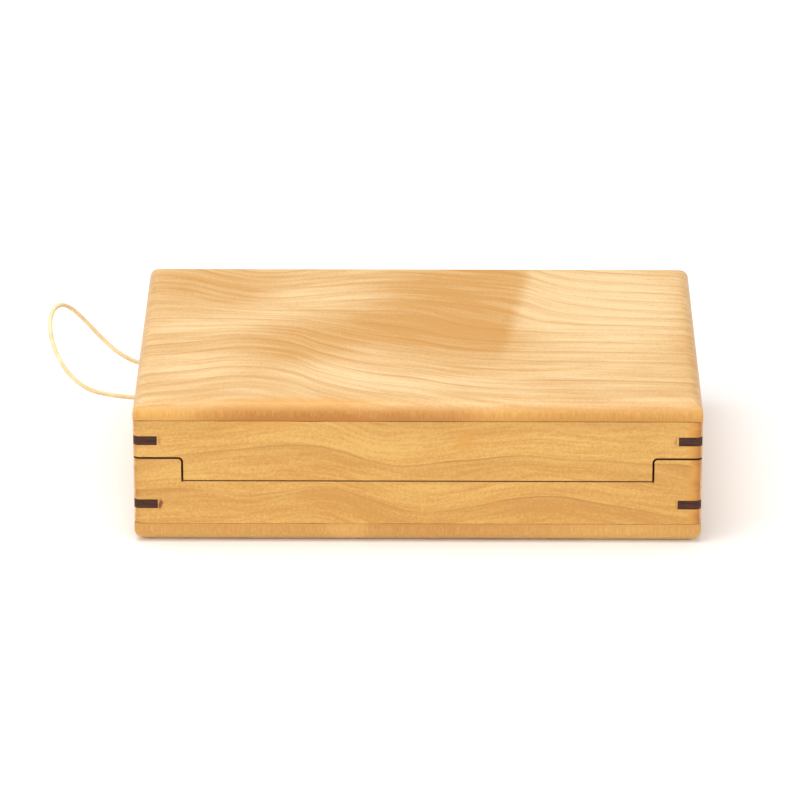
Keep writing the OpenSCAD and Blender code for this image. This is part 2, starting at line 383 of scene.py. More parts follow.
@dataclass(frozen=True)
class Maple:
    """Flat-sawn maple under satin lacquer, planed and sanded to 320 grit.

    It gives the eye thin growth lines that bend with the board, a silky play of cream
    and tan, fine dark vessel flecks, and ray flecks on the boards' edges.
    """

    name: str
    cut: Cut
    patches: tuple[Patch, ...] = ()
    glow: tuple[Patch, ...] = ()
    burns: tuple[Patch, ...] = ()
    cream: str = Tone.CREAM.value
    tan: str = Tone.TAN.value
    line: str = Tone.LINE.value
    line_strength: float = 0.5
    line_softness: float = 0.10
    unevenness: float = 0.5
    fade: float = 0.0
    silk: float = 1.4
    base_tone: float = 0.5
    rim: tuple[float, float] | None = None
    rim_pale: str = "#E4B058"
    rim_depth: float = 0.4
    rim_patches: tuple[Patch, ...] = ()
    glue_height: float | None = None
    seam: bool = False

    def course(self, r: Recipe, along: Input, points: tuple[tuple[float, float], ...]) -> Input:
        """The rise of a growth line along the board, read from a smooth curve."""
        half = self.cut.half_length
        at = r.add("Math.MULTIPLY_ADD", (along, 0.5 / half, 0.5))
        lifted = r.add("FloatCurve", (1.0, at))
        curve = lifted.node.mapping.curves[0]
        values = [(0.5 + x / half / 2, 0.5 + rise / 100) for x, rise in points]
        for i, (x, y) in enumerate(values):
            if i < 2:
                curve.points[i].location = (x, y)
            else:
                curve.points.new(x, y)
        lifted.node.mapping.update()
        return r.add("Math.MULTIPLY_ADD", (lifted, 100.0, -50.0))

    def spot(self, r: Recipe, flat: Input, patch: Patch) -> Input:
        """A soft oval, 1 in its middle and 0 outside, cut off crisply at one end if asked."""
        local = r.add(
            "Mapping",
            {
                "Vector": flat,
                "Location": (patch.along, patch.across, 0.0),
                "Rotation": (0.0, 0.0, math.radians(patch.turn)),
                "Scale": (patch.length, patch.breadth, 1.0),
            },
            vector_type="TEXTURE",
        )
        inner = r.add("TexGradient", (local,), out="Fac", gradient_type="SPHERICAL")
        soft = r.add("MapRange.SMOOTHSTEP", (inner, 0.0, 0.75, 0.0, patch.lift))
        if patch.cut > 1:
            return soft
        axis = r.add("SeparateXYZ", (local,), "X")
        edge = r.add("MapRange.SMOOTHSTEP", (axis, patch.cut - 0.035, patch.cut + 0.035, 1.0, 0.0))
        return r.add("Math.MULTIPLY", (soft, edge))

    def sum_spots(self, r: Recipe, flat: Input, patches: tuple[Patch, ...], start: Input) -> Input:
        """Adds up a row of patches."""
        total = start
        for patch in patches:
            total = r.add("Math.ADD", (total, self.spot(r, flat, patch)))
        return total

    def make(self) -> bpy.types.Material:
        """Builds the finish."""
        r = Recipe(self.name)
        cut = self.cut
        here = r.add("TexCoord", (), "Object")
        mm = r.add("VectorMath.MULTIPLY", (here, (1000.0, 1000.0, 1000.0)))
        axes = {axis: r.add("SeparateXYZ", (mm,), out=axis) for axis in "XYZ"}
        along, across, through = axes[cut.along], axes[cut.across], axes[cut.through]

        # The growth field, in millimetres: growth lines are where it is a whole number of spacings
        near, far = self.course(r, along, cut.near), self.course(r, along, cut.far)
        side = r.add("MapRange.SMOOTHSTEP", (across, *cut.blend, 0.0, 1.0))
        rise = r.add("Mix.FLOAT", {0: side, 2: near, 3: far})
        dip = r.add("Math.MULTIPLY_ADD", (through, cut.tilt, cut.offset))
        level = r.add("Math.ADD", (r.add("Math.SUBTRACT", (across, rise)), dip))
        drift_at = r.add("CombineXYZ", (
            r.add("Math.MULTIPLY", (along, 1 / 55)),
            r.add("Math.MULTIPLY", (level, 1 / 14)),
            r.add("Math.MULTIPLY", (through, 1 / 30)),
        ))
        drift = r.add("TexNoise", {"Vector": drift_at, "Scale": 1.0, "Detail": 2.0}, "Fac")
        drift = r.add("Math.ADD", (drift, -0.5))
        field = r.add("Math.MULTIPLY_ADD", (drift, 0.55 * cut.spacing, level))
        phase = r.add("Math.DIVIDE", (field, cut.spacing))
        ring = r.add("Math.FRACT", (phase,))
        count = r.add("Math.FLOOR", (phase,))

        # Long fibres, drawn 0.7 mm wide and about 14 mm long so that they show at arm's length
        fibre_at = r.add("CombineXYZ", (
            r.add("Math.MULTIPLY", (along, 1 / 14)),
            r.add("Math.MULTIPLY", (field, 1 / 0.7)),
            r.add("Math.MULTIPLY", (through, 1 / 0.9)),
        ))
        fibre = r.add(
            "TexNoise", {"Vector": fibre_at, "Scale": 1.0, "Detail": 3.0, "Roughness": 0.6}, "Fac"
        )
        band_at = r.add("VectorMath.MULTIPLY", (fibre_at, (0.45, 0.24, 0.3)))
        band = r.add("TexNoise", {"Vector": band_at, "Scale": 1.0, "Detail": 2.0}, "Fac")

        # Play of light: soft patches of cream and tan, feathered along the fibres
        feather = r.add("Math.MULTIPLY_ADD", (band, 4.0, -2.0))
        flat = r.add("CombineXYZ", (r.add("Math.ADD", (along, feather)), across, 0.0))
        tone = self.sum_spots(r, flat, self.patches, self.base_tone)
        tone = r.add("Math.MULTIPLY_ADD", (r.add("Math.ADD", (fibre, -0.5)), self.silk, tone))
        tone = r.add("Math.MULTIPLY_ADD", (r.add("Math.ADD", (band, -0.5)), 1.3, tone))
        grit_at = r.add("VectorMath.MULTIPLY", (mm, (1.1, 1.1, 1.1)))
        grit = r.add("TexNoise", {"Vector": grit_at, "Scale": 1.0, "Detail": 2.0}, "Fac")
        tone = r.add(
            "Math.MULTIPLY_ADD", (r.add("Math.ADD", (grit, -0.5)), 0.85 * self.silk, tone), use_clamp=True,
        )
        colour = r.add("Mix.RGBA", {0: tone, 6: linear(self.tan), 7: linear(self.cream)}, 2)

        # Growth lines: a thin brown line with a soft shade below it, of a strength that varies
        thin = r.add("MapRange.SMOOTHSTEP", (ring, 1.0 - self.line_softness, 0.985, 0.0, 1.0))
        shade = r.add("MapRange.SMOOTHSTEP", (ring, 0.35, 1.0, 0.0, self.fade))
        lot = r.add("TexWhiteNoise", {"W": count}, out="Value", noise_dimensions="1D")
        vary_at = r.add("CombineXYZ", (
            r.add("Math.MULTIPLY", (along, 1 / 38)),
            r.add("Math.MULTIPLY", (count, 3.7)),
            0.0,
        ))
        vary = r.add("TexNoise", {"Vector": vary_at, "Scale": 1.0, "Detail": 1.0}, "Fac")
        vary = r.add("MapRange", (vary, 0.3, 0.62, 0.35, 1.0))
        weakest = self.line_strength * (1.0 - self.unevenness)
        strong = r.add("MapRange", (lot, 0.0, 1.0, weakest, self.line_strength))
        strong = r.add("Math.MULTIPLY", (strong, vary))
        line = r.add("Math.MULTIPLY", (r.add("Math.MAXIMUM", (thin, shade)), strong))
        colour = r.add("Mix.RGBA", {0: line, 6: colour, 7: linear(self.line)}, 2)

        # Vessel flecks: short dark dashes, drawn 0.35 mm wide and about 2.5 mm long
        fleck_at = r.add("VectorMath.MULTIPLY", (fibre_at, (5.6, 2.0, 2.6)))
        fleck = r.add("TexNoise", {"Vector": fleck_at, "Scale": 1.0, "Detail": 1.0}, "Fac")
        fleck = r.add("MapRange", (fleck, 0.62, 0.76, 0.0, 0.45))
        colour = r.add("Mix.RGBA", {0: fleck, 6: colour, 7: linear(Tone.FLECK.value)}, 2)

        # Warm tints, and painted shade on the rounded front corners
        if self.glow:
            warm = r.add("Math.ADD", (self.sum_spots(r, flat, self.glow, 0.0),), use_clamp=True)
            colour = r.add("Mix.RGBA", {0: warm, 6: colour, 7: linear(Tone.GLOW.value)}, 2)
        if self.rim:
            colour = self.dress_rim(r, colour, axes, flat)
        # Burn marks, and painted shade on the rounded corners, kept to the walls' outer faces
        if self.burns:
            burn_and_shade = self.sum_spots(r, flat, self.burns, 0.0)
            outside = r.add("Math.GREATER_THAN", (r.add("Math.ABSOLUTE", (through,)), BURN_AND_SHADE_Y))
            burn_and_shade = r.add("Math.MULTIPLY", (burn_and_shade, outside), use_clamp=True)
            colour = r.add("Mix.RGBA", {0: burn_and_shade, 6: colour, 7: linear(Tone.BURN.value)}, 2)
        if self.glue_height is not None:
            colour = self.draw_glue_line(r, colour, axes, grit)
        # Painted shade along the seam's line
        if self.seam:
            colour = self.paint_seam_shade(r, colour, axes, along, through)

        rough = r.add("Math.MULTIPLY_ADD", (fibre, 0.16, 0.38))
        bare = self.inner_faces(r, axes)
        rough = r.add("Math.MULTIPLY_ADD", (bare, 0.2, rough))
        coat = r.add("MapRange", (bare, 0.0, 1.0, 0.15, 0.0))
        height = r.add("Math.ADD", (r.add("Math.MULTIPLY", (fleck, -0.8)), fibre))
        bump = r.add("Bump", {"Strength": 0.22, "Distance": 0.03 * MM, "Height": height})
        return r.finish({
            "Base Color": colour, "Roughness": rough, "IOR": 1.5, "Normal": bump,
            "Coat Weight": coat, "Coat Roughness": 0.22, "Coat IOR": 1.48,
        })

    def dress_rim(self, r: Recipe, colour: Input, axes: dict[str, Input], flat: Input) -> Input:
        """Colours a panel's edge, where the rays stand as fine upright flecks."""
        # Ray flecks, drawn 0.5 mm wide and about 3 mm tall
        ray_at = r.add("VectorMath.MULTIPLY", (
            r.add("CombineXYZ", (axes["X"], axes["Y"], axes["Z"])), (1 / 0.5, 1 / 0.5, 1 / 3.2),
        ))
        ray = r.add("TexNoise", {"Vector": ray_at, "Scale": 1.0, "Detail": 2.0}, "Fac")
        ray = r.add("Math.ADD", (ray, -0.5))
        ragged = r.add("Math.MULTIPLY_ADD", (ray, 1.6, axes["Z"]))
        start, full = self.rim
        warm = r.add("MapRange.SMOOTHSTEP", (ragged, start + (start - full) * 0.6, full, 0.0, 0.4))
        outside = r.add("Math.SUBTRACT", (1.0, self.inner_faces(r, axes)))
        warm = r.add("Math.MULTIPLY", (warm, outside))
        colour = r.add("Mix.RGBA", {0: warm, 6: colour, 7: linear(Tone.GLOW.value)}, 2)
        depth = self.sum_spots(r, flat, self.rim_patches, self.rim_depth)
        low = r.add("MapRange", (axes["Z"], full, self.glue_height, -0.12, 0.16))
        depth = r.add("Math.ADD", (depth, low))
        deep = r.add("Math.MULTIPLY_ADD", (ray, 0.85, depth), use_clamp=True)
        rays = r.add("Mix.RGBA", {0: deep, 6: linear(self.rim_pale), 7: linear(Tone.AMBER.value)}, 2)
        edge = r.add("MapRange.SMOOTHSTEP", (ragged, start, full, 0.0, 0.9))
        edge = r.add("Math.MULTIPLY", (edge, outside))
        return r.add("Mix.RGBA", {0: edge, 6: colour, 7: rays}, 2)

    def draw_glue_line(self, r: Recipe, colour: Input, axes: dict[str, Input], grit: Input) -> Input:
        """Draws the hairline of the glue joint, dark in places where glue was left."""
        gap = self.distance(r, axes["Z"], self.glue_height)
        line = r.add("MapRange.SMOOTHSTEP", (gap, 0.05, 0.22, 0.5, 0.0))
        outside = r.add("Math.SUBTRACT", (1.0, self.inner_faces(r, axes)))
        line = r.add("Math.MULTIPLY", (line, outside))
        left_at = r.add("CombineXYZ", (axes["X"], axes["Y"], 0.0))
        left = r.add("TexNoise", {"Vector": left_at, "Scale": 0.09, "Detail": 4.0}, "Fac")
        left = r.add("MapRange", (left, 0.44, 0.64, 0.1, 1.0))
        line = r.add("Math.MULTIPLY", (line, left))
        return r.add("Mix.RGBA", {0: line, 6: colour, 7: linear(Tone.GLUE.value)}, 2)

    def paint_seam_shade(
        self, r: Recipe, colour: Input, axes: dict[str, Input], along: Input, through: Input
    ) -> Input:
        """Paints shade into the seam: darkens the outer skin of the wall along the seam's line, where the
        gap between lid and base lies in shadow.
        """
        seam = self.distance(r, axes["Z"], SEAM_HIGH)
        if self.cut.along == "X":
            # Distance from the rounded shoulder's middle line, then from the low stretch
            out = r.add("Math.SUBTRACT", (r.add("Math.ABSOLUTE", (along,)), STEP_X))
            side = r.add("Math.MULTIPLY_ADD", (out, -1.0, STEP_ROUND))
            up = r.add("Math.SUBTRACT", (axes["Z"], SEAM_HIGH - STEP_ROUND))
            corner = r.add("VectorMath.MAXIMUM", (r.add("CombineXYZ", (side, up, 0.0)), (0.0, 0.0, 0.0)))
            outer = r.add("VectorMath.LENGTH", (corner,), "Value")
            inner = r.add("Math.MINIMUM", (r.add("Math.MAXIMUM", (side, up)), 0.0))
            shoulder = r.add("Math.ADD", (outer, inner))
            shoulder = self.distance(r, shoulder, STEP_ROUND)
            under = r.add("Math.MULTIPLY_ADD", (axes["Z"], -1.0, SEAM_LOW))
            shoulder = r.add("Math.MAXIMUM", (shoulder, under))
            low = r.add("Math.MULTIPLY_ADD", (self.distance(r, axes["Z"], SEAM_LOW), 1.5, 0.1))
            low = r.add("Math.MAXIMUM", (low, out))
            seam = r.add("Math.MINIMUM", (shoulder, low))
        near = r.add("MapRange.SMOOTHSTEP", (seam, 0.3, 0.46, 0.85, 0.0))
        reach = self.cut.depth
        deep = r.add("Math.ABSOLUTE", (through,))
        skin = r.add("MapRange.SMOOTHSTEP", (deep, reach - 3.0, reach - 0.8, 0.0, 1.0))
        dark = r.add("Math.MULTIPLY", (near, skin))
        return r.add("Mix.RGBA", {0: dark, 6: colour, 7: linear(Tone.SEAM_SHADE.value)}, 2)

    def distance(self, r: Recipe, height: Input, level: float) -> Input:
        """How far a point's height is from a level."""
        return r.add("Math.ABSOLUTE", (r.add("Math.SUBTRACT", (height, level)),))

    def inner_faces(self, r: Recipe, axes: dict[str, Input]) -> Input:
        """1 on the faces inside the box, which have no lacquer, and 0 outside."""
        in_x = r.add("Math.LESS_THAN", (r.add("Math.ABSOLUTE", (axes["X"],)), INNER_X))
        in_y = r.add("Math.LESS_THAN", (r.add("Math.ABSOLUTE", (axes["Y"],)), INNER_Y))
        return r.add("Math.MULTIPLY", (in_x, in_y))


# ---- How each board was sawn and finished ------------------------------------------------


TOP_CUT = Cut(
    "X", "Y", "Z",
    near=((-95, 0), (-76, 4), (-60, 8), (-46, 5), (-32, -6), (-18, -14), (0, -20), (14, -26),
          (30, -29), (52, -30), (95, -32)),
    far=((-95, 0), (-84, -1), (-67, -10), (-53, -15), (-37, -12), (-20, -8), (-4, -7), (15, -11),
         (34, -16), (48, -26), (60, -31), (74, -34), (95, -37)),
    blend=(-6.0, 34.0), spacing=8.6, tilt=0.9, offset=2.0,
)
TOP_PANEL = Maple(
    "lacquered_maple_top", TOP_CUT, line_strength=0.75, line_softness=0.22, fade=0.34,
    base_tone=0.52, silk=0.7,
    patches=(
        Patch(-72, 42, 34, 28, -0.3), Patch(-70, 6, 38, 13, 0.26, 10), Patch(-36, 32, 40, 17, 0.32, 28),
        Patch(-10, 61, 28, 9, 0.35), Patch(-42, -10, 30, 26, -0.36), Patch(-18, -42, 42, 15, 0.34, -20),
        Patch(-78, -32, 30, 18, 0.24, 8), Patch(36, 36, 84, 84, -0.5, -7, cut=0.0),
        Patch(4, -2, 50, 24, -0.28, -12), Patch(64, 26, 46, 66, 0.45), Patch(99, 0, 16, 90, -0.34),
        Patch(66, -36, 44, 24, 0.14), Patch(24, -48, 44, 14, 0.2),
    ),
    glow=(Patch(-40, -61.8, 46, 3.4, 0.3),),
    rim=(49.5, 47.3), rim_depth=0.46,
    rim_patches=(Patch(-40, -63, 46, 5, 0.5), Patch(4, -63, 24, 5, 0.35), Patch(64, -63, 44, 5, 0.16),
                 Patch(-84, -63, 14, 6, -0.14)),
    glue_height=44.0,
)
BOTTOM_PANEL = Maple(
    "lacquered_maple_bottom",
    Cut("X", "Y", "Z", near=((-95, -4), (-40, 9), (10, 14), (60, 4), (95, -8)),
        far=((-95, 6), (-50, 0), (0, -9), (50, -4), (95, 8)),
        blend=(-20.0, 30.0), spacing=9.5, tilt=-1.6),
    patches=(
        Patch(-40, 20, 40, 24, 0.3), Patch(40, -10, 40, 24, -0.3),
    ),
    line_strength=0.45, line_softness=0.12, fade=0.2, base_tone=0.5, silk=0.8,
    cream="#EBCF98", tan="#C4985C", rim=(0.2, 1.4), rim_pale="#E0B262", rim_depth=0.5, glue_height=7.0,
    rim_patches=(Patch(-23, -63, 10, 5, -0.25), Patch(68, -63, 30, 5, -0.15), Patch(0, -63, 40, 5, 0.1)),
)
FRONT_CUT = Cut(
    "X", "Z", "Y",
    near=((-95, 34), (-67, 35), (-59, 34.5), (-44, 36.8), (-31, 37.3), (-20, 33.2), (-8, 28.9), (1, 27.3),
          (16, 28.6), (29, 31.7), (44, 33), (60, 31), (74, 28.4), (88, 26), (95, 25)),
    far=((-95, 30.5), (-72, 32), (-59, 33.8), (-48, 35.8), (-39, 36.6), (-28, 34.2), (-13, 29.3), (1, 28.7),
         (18, 30.2), (37, 31.3), (55, 30.4), (74, 29.5), (95, 28.5)),
    blend=(20.0, 29.0), spacing=16.0, tilt=0.5, offset=0.5 * 63.5,
)
BACK_CUT = Cut(
    "X", "Z", "Y",
    near=((-95, 30), (-60, 34), (-20, 29), (20, 36), (55, 31), (95, 35)),
    far=((-95, 27), (-55, 31), (-15, 27.5), (25, 33), (60, 29), (95, 31)),
    blend=(16.0, 32.0), spacing=12.5, tilt=-0.5, offset=0.5 * 63.5,
)
LEFT_CUT = Cut(
    "Y", "Z", "X",
    near=((-63, 30), (-30, 34), (5, 29), (36, 35), (63, 31)),
    far=((-63, 27), (-25, 31), (10, 28), (40, 32), (63, 28)),
    blend=(14.0, 34.0), spacing=11.0, half_length=63.5, depth=95.0, tilt=0.5, offset=0.5 * 95,
)
RIGHT_CUT = Cut(
    "Y", "Z", "X",
    near=((-63, 35), (-34, 30), (0, 33), (30, 28), (63, 32)),
    far=((-63, 31), (-38, 28), (2, 31), (34, 27), (63, 30)),
    blend=(14.0, 34.0), spacing=13.0, half_length=63.5, depth=95.0, tilt=-0.5, offset=0.5 * 95,
)
WALL_LOOK = {
    "line_strength": 1.0, "line_softness": 0.1, "fade": 0.42, "unevenness": 0.2,
    "tan": "#BC8A42", "cream": "#E3BF70", "line": "#8C5828", "seam": True,
}


def wall(name: str, cut: Cut, **look: object) -> Maple:
    """A wall's finish, richer in colour than the panels' as its grain faces the eye."""
    return Maple(f"lacquered_maple_{name}", cut, **{**WALL_LOOK, **look})


LID_FRONT = wall(
    "lid_front", FRONT_CUT, base_tone=0.55, silk=1.9, glue_height=44.0,
    patches=(Patch(-38, 28, 30, 9, -0.3), Patch(-8, 37, 24, 9, 0.3), Patch(38, 26, 40, 6, -0.22),
             Patch(-72, 38, 20, 10, -0.15), Patch(-12, 25, 14, 5, 0.2), Patch(20, 40, 26, 6, -0.15)),
    # The warm patch at x = 96 and the burn patches at x = ±96 are painted shade on the rounded corners; the
    # small burn patches at x = ±86 are burn marks at the keys' ends
    glow=(Patch(16, 37, 5, 6, 0.3), Patch(-52, 43, 22, 3, 0.2), Patch(96, 38, 7, 22, 1.4)),
    burns=(Patch(-86.2, 37, 0.9, 2.4, 0.35), Patch(86.2, 37, 0.9, 2.4, 0.4), Patch(96, 36, 5, 60, 0.55),
           Patch(-96, 36, 3.4, 60, 0.3)),
)
BASE_FRONT = wall(
    "base_front", FRONT_CUT, base_tone=0.44, silk=1.9, glue_height=7.0,
    patches=(Patch(-22, 14, 34, 7, -0.42, -14), Patch(52, 11, 44, 7, -0.3, -4), Patch(-62, 13, 24, 6, -0.12),
             Patch(-2, 19, 26, 5, 0.25), Patch(-84, 25, 10, 8, 0.15)),
    # The warm patch at x = 96 and the burn patches at x = ±96 are painted shade on the rounded corners; the
    # small burn patches at x = ±86 are burn marks at the keys' ends
    glow=(Patch(96, 16, 7, 30, 1.4), Patch(26, 15, 5, 4, 0.2)),
    burns=(Patch(-86.4, 13.9, 1.0, 2.4, 1.3), Patch(86.2, 14, 0.9, 2.2, 0.3), Patch(96, 14, 5, 60, 0.55),
           Patch(-96, 14, 3.4, 60, 0.4)),
)
# Warmer, shaded copy of the walls' colours for the back and side walls, which stand in shade, tuned so that
# in shade they look warm and not olive
SHADED_WALL_LOOK = {"tan": "#BE7E3E", "cream": "#E4B26A", "line": "#96562A", "line_strength": 0.7,
              "silk": 1.0}
BACK_WALL = wall(
    "back", BACK_CUT, **SHADED_WALL_LOOK, patches=(Patch(-40, 30, 30, 9, -0.3), Patch(40, 16, 36, 9, 0.25)),
)
LEFT_WALL = wall(
    "left", LEFT_CUT, **SHADED_WALL_LOOK, patches=(Patch(-20, 38, 24, 8, 0.25), Patch(24, 18, 26, 9, -0.3)),
)
RIGHT_WALL = wall(
    "right", RIGHT_CUT, **SHADED_WALL_LOOK, patches=(Patch(20, 38, 24, 8, -0.25), Patch(-24, 16, 26, 9, 0.25)),
)
LINER = Maple(
    "planed_maple_liner",
    Cut("X", "Z", "Y", near=((-95, 10), (-40, 13), (20, 9), (70, 12), (95, 10)),
        far=((-95, 12), (-30, 10), (30, 13), (95, 9)), blend=(10.0, 24.0), spacing=7.5, tilt=0.4),
    line_strength=0.45, fade=0.3, silk=0.9, cream="#E6C88C", tan="#C49A5C",
)


@dataclass(frozen=True)
class Wenge:
    """Dark wenge wedges, glued in and sanded flush, under the same lacquer.

    It gives the eye a near-black brown bar with fine paler lines along it, so that it
    reads as wood and not as a painted stripe.
    """

    dark: str = "#321811"
    pale: str = "#54301F"

    def make(self) -> bpy.types.Material:
        """Builds the finish."""
        r = Recipe("lacquered_wenge")
        here = r.add("TexCoord", (), "Object")
        # Fine pale lines, drawn 0.45 mm apart and about 6 mm long
        at = r.add("VectorMath.MULTIPLY", (here, (160.0, 160.0, 2200.0)))
        lines = r.add("TexNoise", {"Vector": at, "Scale": 1.0, "Detail": 2.0}, "Fac")
        mottle = r.add("TexNoise", {"Vector": here, "Scale": 420.0, "Detail": 2.0}, "Fac")
        mixed = r.add("Math.MULTIPLY_ADD", (lines, 0.75, r.add("Math.MULTIPLY", (mottle, 0.25))))
        tone = r.add("MapRange", (mixed, 0.38, 0.66, 0.0, 1.0))
        colour = r.add("Mix.RGBA", {0: tone, 6: linear(self.dark), 7: linear(self.pale)}, 2)
        bump = r.add("Bump", {"Strength": 0.3, "Distance": 0.03 * MM, "Height": lines})
        rough = r.add("MapRange", (tone, 0.0, 1.0, 0.5, 0.62))
        return r.finish({"Base Color": colour, "Roughness": rough, "IOR": 1.45, "Normal": bump,
                         "Specular IOR Level": 0.3})


@dataclass(frozen=True)
class GroundSteel:
    """Centreless-ground steel of the lock pins.

    It gives the eye a grey metal whose fine rings round the pin catch the light as a
    brushed sheen.
    """

    colour: str = "#C6C8CA"
    shade: str = "#AEB1B4"

    def make(self) -> bpy.types.Material:
        """Builds the finish."""
        r = Recipe("ground_steel")
        here = r.add("TexCoord", (), "Object")
        # Grinding rings, drawn 0.25 mm apart along the pin
        at = r.add("VectorMath.MULTIPLY", (here, (4000.0, 250.0, 250.0)))
        rings = r.add("TexNoise", {"Vector": at, "Scale": 1.0, "Detail": 2.0}, "Fac")
        smear = r.add("TexNoise", {"Vector": here, "Scale": 600.0, "Detail": 3.0}, "Fac")
        rough = r.add("MapRange", (smear, 0.3, 0.7, 0.22, 0.4))
        tint = r.add("Mix.RGBA", {0: rings, 6: linear(self.shade), 7: linear(self.colour)}, 2)
        bump = r.add("Bump", {"Strength": 0.25, "Distance": 0.01 * MM, "Height": rings})
        return r.finish({"Base Color": tint, "Metallic": 1.0, "Roughness": rough, "Normal": bump})


@dataclass(frozen=True)
class WaxedCord:
    """Pale twisted cord, waxed so that it stands up by itself.

    It gives the eye a soft cream strand with slightly darker sides and a low sheen.
    """

    light: str = "#EFDCB2"
    dark: str = "#DEC696"

    def make(self) -> bpy.types.Material:
        """Builds the finish."""
        r = Recipe("waxed_cord")
        here = r.add("TexCoord", (), "Object")
        # Strands and wax bloom, drawn 0.5 mm and 4 mm wide
        strands = r.add("TexNoise", {"Vector": here, "Scale": 2000.0, "Detail": 2.0}, "Fac")
        bloom = r.add("TexNoise", {"Vector": here, "Scale": 250.0, "Detail": 2.0}, "Fac")
        mixed = r.add("Math.MULTIPLY", (strands, bloom))
        tone = r.add("MapRange", (mixed, 0.12, 0.36, 0.0, 1.0))
        colour = r.add("Mix.RGBA", {0: tone, 6: linear(self.dark), 7: linear(self.light)}, 2)
        bump = r.add("Bump", {"Strength": 0.2, "Distance": 0.03 * MM, "Height": strands})
        rough = r.add("MapRange", (bloom, 0.3, 0.7, 0.42, 0.6))
        return r.finish({
            "Base Color": colour, "Roughness": rough, "IOR": 1.45, "Normal": bump,
            "Subsurface Weight": 0.4, "Subsurface Radius": (1.0, 0.8, 0.5), "Subsurface Scale": 0.6 * MM,
        })


# ---- Workbench: the operations that shape a board ---------------------------------------


class Bench:
    """Shapes boards with a saw, a router and a sanding block."""

    round_segments = 10
    nearly_flat = math.radians(25)

    @staticmethod
    def open_mesh(piece: bpy.types.Object) -> None:
        """Opens a board's mesh for editing."""
        make_active(piece)
        bpy.ops.object.mode_set(mode="EDIT")

    @staticmethod
    def block(name: str, low: Point, high: Point) -> bpy.types.Object:
        """Starts a board as a rectangular block.

        Args:
            name: The piece's name.
            low: Its lowest corner.
            high: Its highest corner.

        Returns:
            The block, with its place in its mesh.
        """
        deselect()
        middle = [(a + b) / 2 for a, b in zip(low, high)]
        bpy.ops.mesh.primitive_cube_add(size=1, location=middle)
        piece = bpy.context.active_object
        piece.name = name
        piece.scale = [b - a for a, b in zip(low, high)]
        bpy.ops.object.transform_apply(location=True, rotation=True, scale=True)
        return piece

    @staticmethod
    def rod(name: str, start: Vector, end: Vector, radius: float) -> bpy.types.Object:
        """Makes a round rod between two points, to cut a bore with."""
        deselect()
        bpy.ops.mesh.primitive_cylinder_add(
            vertices=40, radius=radius, depth=(end - start).length, location=(start + end) / 2
        )
        piece = bpy.context.active_object
        piece.name = name
        piece.rotation_mode = "QUATERNION"
        piece.rotation_quaternion = (end - start).to_track_quat("Z", "Y")
        bpy.ops.object.transform_apply(location=True, rotation=True, scale=True)
        return piece

    @staticmethod
    def saw(piece: bpy.types.Object, point: Point, outward: Point) -> None:
        """Saws off what lies on the outward side of a plane and closes the cut."""
        Bench.open_mesh(piece)
        bpy.ops.mesh.select_all(action="SELECT")
        bpy.ops.mesh.bisect(
            plane_co=point, plane_no=outward, use_fill=True, clear_outer=True, threshold=1e-7
        )
        bpy.ops.object.mode_set(mode="OBJECT")

    @staticmethod
    def cut_away(piece: bpy.types.Object, cutter: bpy.types.Object) -> None:
        """Subtracts a cutter from a board and throws the cutter away."""
        make_active(piece)
        modifier = piece.modifiers.new("cut", "BOOLEAN")
        modifier.operation = "DIFFERENCE"
        modifier.solver = "EXACT"
        modifier.object = cutter
        bpy.ops.object.modifier_apply(modifier=modifier.name)
        bpy.data.objects.remove(cutter)

    @staticmethod
    def round_edges(
        piece: bpy.types.Object, rule: EdgeRule, radius: float, segments: int, sharp_only: bool = True
    ) -> None:
        """Rounds the edges that a rule picks.

        Args:
            piece: The board.
            rule: Says from an edge's two ends whether it is rounded.
            radius: How far the rounding reaches from the edge.
            segments: Strips in the rounding.
            sharp_only: Leaves out edges that are nearly flat.
        """
        Bench.open_mesh(piece)
        bpy.context.tool_settings.mesh_select_mode = (False, True, False)
        bpy.ops.mesh.select_all(action="DESELECT")
        shape = bmesh.from_edit_mesh(piece.data)
        for edge in shape.edges:
            flat = sharp_only and edge.calc_face_angle(0.0) < Bench.nearly_flat
            if not flat and rule(edge.verts[0].co, edge.verts[1].co):
                edge.select_set(True)
        picked = any(edge.select for edge in shape.edges)
        bmesh.update_edit_mesh(piece.data)
        if picked:
            bpy.ops.mesh.bevel(
                offset=radius, offset_type="OFFSET", segments=segments, profile=0.5,
                affect="EDGES", clamp_overlap=True, miter_outer="ARC",
            )
        bpy.ops.object.mode_set(mode="OBJECT")

    @staticmethod
    def finish(piece: bpy.types.Object, keep_sharp_above: float = 32.0) -> None:
        """Cleans a finished board and gives flat faces flat normals."""
        Bench.open_mesh(piece)
        bpy.ops.mesh.select_all(action="SELECT")
        bpy.ops.mesh.remove_doubles(threshold=1e-6)
        bpy.ops.mesh.normals_make_consistent(inside=False)
        bpy.ops.object.mode_set(mode="OBJECT")
        bpy.ops.object.shade_smooth_by_angle(angle=math.radians(keep_sharp_above))
        weighted = piece.modifiers.new("flat_faces", "WEIGHTED_NORMAL")
        weighted.keep_sharp = True
        weighted.mode = "FACE_AREA"
        bpy.ops.object.modifier_apply(modifier=weighted.name)


# ---- Boards ----------------------------------------------------------------------------


